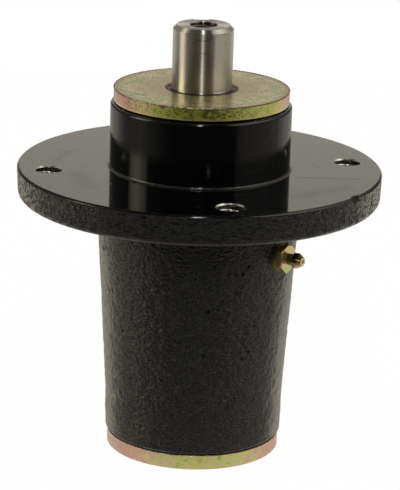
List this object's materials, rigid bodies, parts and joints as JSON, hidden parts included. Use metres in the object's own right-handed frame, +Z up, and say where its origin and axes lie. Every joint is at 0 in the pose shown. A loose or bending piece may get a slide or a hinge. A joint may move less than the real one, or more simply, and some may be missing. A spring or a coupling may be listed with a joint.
{
  "type": "mower deck spindle",
  "caption": "Flanged cast spindle housing with a keyed shaft on taper roller bearings, zinc-plated spacer discs at both ends and a side grease fitting.",
  "frame": {"origin": "centre of the pilot hub's foot, in the plane of the flange's machined face", "axes": "+Z up the shaft towards the pulley end, +X out through the grease fitting, flange holes at 45 degrees to X"},
  "size_m": [0.1538, 0.1538, 0.1835],
  "materials": {
    "housing_paint": "gloss black paint, over rough casting on rim and barrel and over machined hub and flange face",
    "turned_steel": "bright turned steel with faint scratches and rust specks",
    "yellow_zinc": "yellow iridescent zinc plate, gold, pink and green",
    "fitting_zinc": "yellow zinc plate",
    "bearing_steel": "ground steel",
    "cage_steel": "pressed steel sheet",
    "tube_steel": "drawn tube",
    "seal_case_steel": "pressed steel",
    "seal_rubber": "black nitrile",
    "spring_steel": "drawn wire"
  },
  "bodies": {
    "housing": {"spindle_housing": "housing_paint", "upper_bearing_cup": "bearing_steel", "lower_bearing_cup": "bearing_steel", "upper_seal_case": "seal_case_steel", "lower_seal_case": "seal_case_steel", "upper_seal_lip": "seal_rubber", "lower_seal_lip": "seal_rubber", "upper_seal_spring": "spring_steel", "lower_seal_spring": "spring_steel", "grease_fitting_body": "fitting_zinc", "grease_fitting_spring": "spring_steel"},
    "rotor": {"spindle_shaft": "turned_steel", "top_spacer": "yellow_zinc", "bottom_spacer": "yellow_zinc", "upper_bearing_cone": "bearing_steel", "lower_bearing_cone": "bearing_steel", "bearing_spacer_sleeve": "tube_steel"},
    "upper_cage": {"upper_bearing_cage": "cage_steel"},
    "lower_cage": {"lower_bearing_cage": "cage_steel"},
    "check_ball": {"grease_fitting_ball": "bearing_steel"},
    "upper_roller_01_body": {"upper_roller_01": "bearing_steel"},
    "upper_roller_02_body": {"upper_roller_02": "bearing_steel"},
    "upper_roller_03_body": {"upper_roller_03": "bearing_steel"},
    "upper_roller_04_body": {"upper_roller_04": "bearing_steel"},
    "upper_roller_05_body": {"upper_roller_05": "bearing_steel"},
    "upper_roller_06_body": {"upper_roller_06": "bearing_steel"},
    "upper_roller_07_body": {"upper_roller_07": "bearing_steel"},
    "upper_roller_08_body": {"upper_roller_08": "bearing_steel"},
    "upper_roller_09_body": {"upper_roller_09": "bearing_steel"},
    "upper_roller_10_body": {"upper_roller_10": "bearing_steel"},
    "upper_roller_11_body": {"upper_roller_11": "bearing_steel"},
    "upper_roller_12_body": {"upper_roller_12": "bearing_steel"},
    "upper_roller_13_body": {"upper_roller_13": "bearing_steel"},
    "upper_roller_14_body": {"upper_roller_14": "bearing_steel"},
    "upper_roller_15_body": {"upper_roller_15": "bearing_steel"},
    "upper_roller_16_body": {"upper_roller_16": "bearing_steel"},
    "upper_roller_17_body": {"upper_roller_17": "bearing_steel"},
    "lower_roller_01_body": {"lower_roller_01": "bearing_steel"},
    "lower_roller_02_body": {"lower_roller_02": "bearing_steel"},
    "lower_roller_03_body": {"lower_roller_03": "bearing_steel"},
    "lower_roller_04_body": {"lower_roller_04": "bearing_steel"},
    "lower_roller_05_body": {"lower_roller_05": "bearing_steel"},
    "lower_roller_06_body": {"lower_roller_06": "bearing_steel"},
    "lower_roller_07_body": {"lower_roller_07": "bearing_steel"},
    "lower_roller_08_body": {"lower_roller_08": "bearing_steel"},
    "lower_roller_09_body": {"lower_roller_09": "bearing_steel"},
    "lower_roller_10_body": {"lower_roller_10": "bearing_steel"},
    "lower_roller_11_body": {"lower_roller_11": "bearing_steel"},
    "lower_roller_12_body": {"lower_roller_12": "bearing_steel"},
    "lower_roller_13_body": {"lower_roller_13": "bearing_steel"},
    "lower_roller_14_body": {"lower_roller_14": "bearing_steel"},
    "lower_roller_15_body": {"lower_roller_15": "bearing_steel"},
    "lower_roller_16_body": {"lower_roller_16": "bearing_steel"},
    "lower_roller_17_body": {"lower_roller_17": "bearing_steel"}
  },
  "joints": [
    {"name": "shaft_spin", "type": "hinge", "parent": "housing", "child": "rotor", "pos_m": [0, 0, 0], "axis": [0, 0, 1], "continuous": true},
    {"name": "upper_cage_turn", "type": "hinge", "parent": "housing", "child": "upper_cage", "pos_m": [0, 0, 0.00975], "axis": [0, 0, 1], "continuous": true},
    {"name": "upper_roller_01_spin", "type": "hinge", "parent": "upper_cage", "child": "upper_roller_01_body", "pos_m": [0.02153, 0, 0.00415], "axis": [0.2077, 0, 0.9782], "continuous": true},
    {"name": "upper_roller_02_spin", "type": "hinge", "parent": "upper_cage", "child": "upper_roller_02_body", "pos_m": [0.02008, 0.00778, 0.00415], "axis": [0.1937, 0.075, 0.9782], "continuous": true},
    {"name": "upper_roller_03_spin", "type": "hinge", "parent": "upper_cage", "child": "upper_roller_03_body", "pos_m": [0.01591, 0.0145, 0.00415], "axis": [0.1535, 0.14, 0.9782], "continuous": true},
    {"name": "upper_roller_04_spin", "type": "hinge", "parent": "upper_cage", "child": "upper_roller_04_body", "pos_m": [0.0096, 0.01927, 0.00415], "axis": [0.0926, 0.186, 0.9782], "continuous": true},
    {"name": "upper_roller_05_spin", "type": "hinge", "parent": "upper_cage", "child": "upper_roller_05_body", "pos_m": [0.00199, 0.02144, 0.00415], "axis": [0.0192, 0.2069, 0.9782], "continuous": true},
    {"name": "upper_roller_06_spin", "type": "hinge", "parent": "upper_cage", "child": "upper_roller_06_body", "pos_m": [-0.00589, 0.02071, 0.00415], "axis": [-0.0569, 0.1998, 0.9782], "continuous": true},
    {"name": "upper_roller_07_spin", "type": "hinge", "parent": "upper_cage", "child": "upper_roller_07_body", "pos_m": [-0.01297, 0.01718, 0.00415], "axis": [-0.1252, 0.1658, 0.9782], "continuous": true},
    {"name": "upper_roller_08_spin", "type": "hinge", "parent": "upper_cage", "child": "upper_roller_08_body", "pos_m": [-0.0183, 0.01133, 0.00415], "axis": [-0.1766, 0.1094, 0.9782], "continuous": true},
    {"name": "upper_roller_09_spin", "type": "hinge", "parent": "upper_cage", "child": "upper_roller_09_body", "pos_m": [-0.02116, 0.00396, 0.00415], "axis": [-0.2042, 0.0382, 0.9782], "continuous": true},
    {"name": "upper_roller_10_spin", "type": "hinge", "parent": "upper_cage", "child": "upper_roller_10_body", "pos_m": [-0.02116, -0.00396, 0.00415], "axis": [-0.2042, -0.0382, 0.9782], "continuous": true},
    {"name": "upper_roller_11_spin", "type": "hinge", "parent": "upper_cage", "child": "upper_roller_11_body", "pos_m": [-0.0183, -0.01133, 0.00415], "axis": [-0.1766, -0.1094, 0.9782], "continuous": true},
    {"name": "upper_roller_12_spin", "type": "hinge", "parent": "upper_cage", "child": "upper_roller_12_body", "pos_m": [-0.01297, -0.01718, 0.00415], "axis": [-0.1252, -0.1658, 0.9782], "continuous": true},
    {"name": "upper_roller_13_spin", "type": "hinge", "parent": "upper_cage", "child": "upper_roller_13_body", "pos_m": [-0.00589, -0.02071, 0.00415], "axis": [-0.0569, -0.1998, 0.9782], "continuous": true},
    {"name": "upper_roller_14_spin", "type": "hinge", "parent": "upper_cage", "child": "upper_roller_14_body", "pos_m": [0.00199, -0.02144, 0.00415], "axis": [0.0192, -0.2069, 0.9782], "continuous": true},
    {"name": "upper_roller_15_spin", "type": "hinge", "parent": "upper_cage", "child": "upper_roller_15_body", "pos_m": [0.0096, -0.01927, 0.00415], "axis": [0.0926, -0.186, 0.9782], "continuous": true},
    {"name": "upper_roller_16_spin", "type": "hinge", "parent": "upper_cage", "child": "upper_roller_16_body", "pos_m": [0.01591, -0.0145, 0.00415], "axis": [0.1535, -0.14, 0.9782], "continuous": true},
    {"name": "upper_roller_17_spin", "type": "hinge", "parent": "upper_cage", "child": "upper_roller_17_body", "pos_m": [0.02008, -0.00778, 0.00415], "axis": [0.1937, -0.075, 0.9782], "continuous": true},
    {"name": "lower_cage_turn", "type": "hinge", "parent": "housing", "child": "lower_cage", "pos_m": [0, 0, -0.09815], "axis": [0, 0, 1], "continuous": true},
    {"name": "lower_roller_01_spin", "type": "hinge", "parent": "lower_cage", "child": "lower_roller_01_body", "pos_m": [0.02153, 0, -0.09255], "axis": [-0.2077, 0, 0.9782], "continuous": true},
    {"name": "lower_roller_02_spin", "type": "hinge", "parent": "lower_cage", "child": "lower_roller_02_body", "pos_m": [0.02008, -0.00778, -0.09255], "axis": [-0.1937, 0.075, 0.9782], "continuous": true},
    {"name": "lower_roller_03_spin", "type": "hinge", "parent": "lower_cage", "child": "lower_roller_03_body", "pos_m": [0.01591, -0.0145, -0.09255], "axis": [-0.1535, 0.14, 0.9782], "continuous": true},
    {"name": "lower_roller_04_spin", "type": "hinge", "parent": "lower_cage", "child": "lower_roller_04_body", "pos_m": [0.0096, -0.01927, -0.09255], "axis": [-0.0926, 0.186, 0.9782], "continuous": true},
    {"name": "lower_roller_05_spin", "type": "hinge", "parent": "lower_cage", "child": "lower_roller_05_body", "pos_m": [0.00199, -0.02144, -0.09255], "axis": [-0.0192, 0.2069, 0.9782], "continuous": true},
    {"name": "lower_roller_06_spin", "type": "hinge", "parent": "lower_cage", "child": "lower_roller_06_body", "pos_m": [-0.00589, -0.02071, -0.09255], "axis": [0.0569, 0.1998, 0.9782], "continuous": true},
    {"name": "lower_roller_07_spin", "type": "hinge", "parent": "lower_cage", "child": "lower_roller_07_body", "pos_m": [-0.01297, -0.01718, -0.09255], "axis": [0.1252, 0.1658, 0.9782], "continuous": true},
    {"name": "lower_roller_08_spin", "type": "hinge", "parent": "lower_cage", "child": "lower_roller_08_body", "pos_m": [-0.0183, -0.01133, -0.09255], "axis": [0.1766, 0.1094, 0.9782], "continuous": true},
    {"name": "lower_roller_09_spin", "type": "hinge", "parent": "lower_cage", "child": "lower_roller_09_body", "pos_m": [-0.02116, -0.00396, -0.09255], "axis": [0.2042, 0.0382, 0.9782], "continuous": true},
    {"name": "lower_roller_10_spin", "type": "hinge", "parent": "lower_cage", "child": "lower_roller_10_body", "pos_m": [-0.02116, 0.00396, -0.09255], "axis": [0.2042, -0.0382, 0.9782], "continuous": true},
    {"name": "lower_roller_11_spin", "type": "hinge", "parent": "lower_cage", "child": "lower_roller_11_body", "pos_m": [-0.0183, 0.01133, -0.09255], "axis": [0.1766, -0.1094, 0.9782], "continuous": true},
    {"name": "lower_roller_12_spin", "type": "hinge", "parent": "lower_cage", "child": "lower_roller_12_body", "pos_m": [-0.01297, 0.01718, -0.09255], "axis": [0.1252, -0.1658, 0.9782], "continuous": true},
    {"name": "lower_roller_13_spin", "type": "hinge", "parent": "lower_cage", "child": "lower_roller_13_body", "pos_m": [-0.00589, 0.02071, -0.09255], "axis": [0.0569, -0.1998, 0.9782], "continuous": true},
    {"name": "lower_roller_14_spin", "type": "hinge", "parent": "lower_cage", "child": "lower_roller_14_body", "pos_m": [0.00199, 0.02144, -0.09255], "axis": [-0.0192, -0.2069, 0.9782], "continuous": true},
    {"name": "lower_roller_15_spin", "type": "hinge", "parent": "lower_cage", "child": "lower_roller_15_body", "pos_m": [0.0096, 0.01927, -0.09255], "axis": [-0.0926, -0.186, 0.9782], "continuous": true},
    {"name": "lower_roller_16_spin", "type": "hinge", "parent": "lower_cage", "child": "lower_roller_16_body", "pos_m": [0.01591, 0.0145, -0.09255], "axis": [-0.1535, -0.14, 0.9782], "continuous": true},
    {"name": "lower_roller_17_spin", "type": "hinge", "parent": "lower_cage", "child": "lower_roller_17_body", "pos_m": [0.02008, 0.00778, -0.09255], "axis": [-0.1937, -0.075, 0.9782], "continuous": true},
    {"name": "grease_check_ball", "type": "slide", "parent": "housing", "child": "check_ball", "axis": [-1, 0, 0], "range_m": [0, 0.001], "stiffness_N_per_m": 300, "deforming": ["grease_fitting_spring"]}
  ],
  "couplings": [
    {"joint": "upper_cage_turn", "follows": "shaft_spin", "ratio": 0.41573},
    {"joint": "upper_roller_01_spin", "follows": "shaft_spin", "ratio": -2.8194},
    {"joint": "upper_roller_02_spin", "follows": "shaft_spin", "ratio": -2.8194},
    {"joint": "upper_roller_03_spin", "follows": "shaft_spin", "ratio": -2.8194},
    {"joint": "upper_roller_04_spin", "follows": "shaft_spin", "ratio": -2.8194},
    {"joint": "upper_roller_05_spin", "follows": "shaft_spin", "ratio": -2.8194},
    {"joint": "upper_roller_06_spin", "follows": "shaft_spin", "ratio": -2.8194},
    {"joint": "upper_roller_07_spin", "follows": "shaft_spin", "ratio": -2.8194},
    {"joint": "upper_roller_08_spin", "follows": "shaft_spin", "ratio": -2.8194},
    {"joint": "upper_roller_09_spin", "follows": "shaft_spin", "ratio": -2.8194},
    {"joint": "upper_roller_10_spin", "follows": "shaft_spin", "ratio": -2.8194},
    {"joint": "upper_roller_11_spin", "follows": "shaft_spin", "ratio": -2.8194},
    {"joint": "upper_roller_12_spin", "follows": "shaft_spin", "ratio": -2.8194},
    {"joint": "upper_roller_13_spin", "follows": "shaft_spin", "ratio": -2.8194},
    {"joint": "upper_roller_14_spin", "follows": "shaft_spin", "ratio": -2.8194},
    {"joint": "upper_roller_15_spin", "follows": "shaft_spin", "ratio": -2.8194},
    {"joint": "upper_roller_16_spin", "follows": "shaft_spin", "ratio": -2.8194},
    {"joint": "upper_roller_17_spin", "follows": "shaft_spin", "ratio": -2.8194},
    {"joint": "lower_cage_turn", "follows": "shaft_spin", "ratio": 0.41573},
    {"joint": "lower_roller_01_spin", "follows": "shaft_spin", "ratio": -2.8194},
    {"joint": "lower_roller_02_spin", "follows": "shaft_spin", "ratio": -2.8194},
    {"joint": "lower_roller_03_spin", "follows": "shaft_spin", "ratio": -2.8194},
    {"joint": "lower_roller_04_spin", "follows": "shaft_spin", "ratio": -2.8194},
    {"joint": "lower_roller_05_spin", "follows": "shaft_spin", "ratio": -2.8194},
    {"joint": "lower_roller_06_spin", "follows": "shaft_spin", "ratio": -2.8194},
    {"joint": "lower_roller_07_spin", "follows": "shaft_spin", "ratio": -2.8194},
    {"joint": "lower_roller_08_spin", "follows": "shaft_spin", "ratio": -2.8194},
    {"joint": "lower_roller_09_spin", "follows": "shaft_spin", "ratio": -2.8194},
    {"joint": "lower_roller_10_spin", "follows": "shaft_spin", "ratio": -2.8194},
    {"joint": "lower_roller_11_spin", "follows": "shaft_spin", "ratio": -2.8194},
    {"joint": "lower_roller_12_spin", "follows": "shaft_spin", "ratio": -2.8194},
    {"joint": "lower_roller_13_spin", "follows": "shaft_spin", "ratio": -2.8194},
    {"joint": "lower_roller_14_spin", "follows": "shaft_spin", "ratio": -2.8194},
    {"joint": "lower_roller_15_spin", "follows": "shaft_spin", "ratio": -2.8194},
    {"joint": "lower_roller_16_spin", "follows": "shaft_spin", "ratio": -2.8194},
    {"joint": "lower_roller_17_spin", "follows": "shaft_spin", "ratio": -2.8194}
  ]
}
